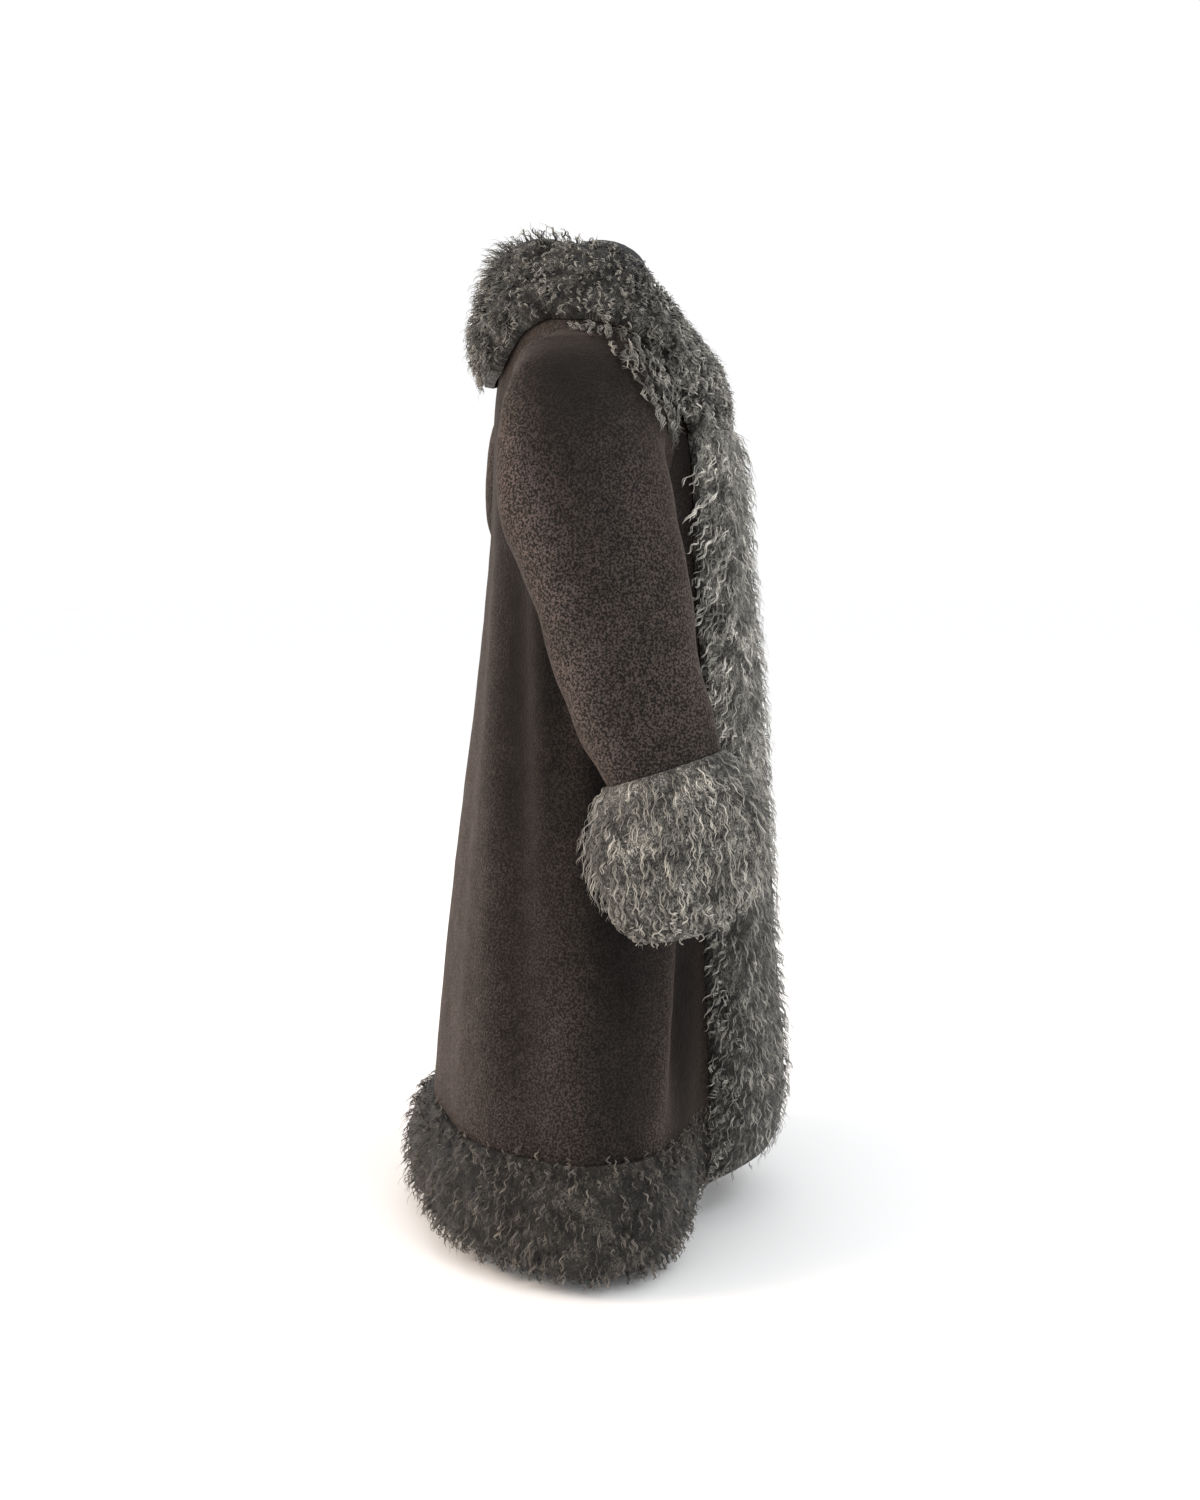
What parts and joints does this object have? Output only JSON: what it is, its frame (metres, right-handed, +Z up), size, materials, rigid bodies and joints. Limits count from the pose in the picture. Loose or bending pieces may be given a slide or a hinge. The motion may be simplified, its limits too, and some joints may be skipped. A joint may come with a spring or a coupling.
{
  "type": "teddy coat on a limbless dress form",
  "caption": "Long plush teddy coat with curly long-wool collar, front bands, hem and flared cuffs, standing on a limbless dress form.",
  "frame": {"origin": "centre of the underside of the dress form's base, on the floor", "axes": "+Z up; -Y is the coat's front; +X is the wearer's left"},
  "size_m": [0.7236, 0.4567, 1.1183],
  "materials": {
    "plush": "short dense dark brown plush pile with a soft sheen",
    "long_wool": "long curly grey-taupe wool",
    "form_jersey": "near-black stretch jersey",
    "stand_steel": "brushed"
  },
  "bodies": {
    "root": {"back_left": "plush", "back_right": "plush", "front_left": "plush", "front_right": "plush", "sleeve_left": "plush", "sleeve_right": "plush", "collar": "long_wool", "front_band_left": "long_wool", "front_band_right": "long_wool", "hem_band": "long_wool", "cuff_left": "long_wool", "cuff_right": "long_wool", "form_torso": "form_jersey", "form_neck_cap": "form_jersey", "form_pole": "stand_steel", "form_base": "stand_steel"}
  },
  "joints": []
}
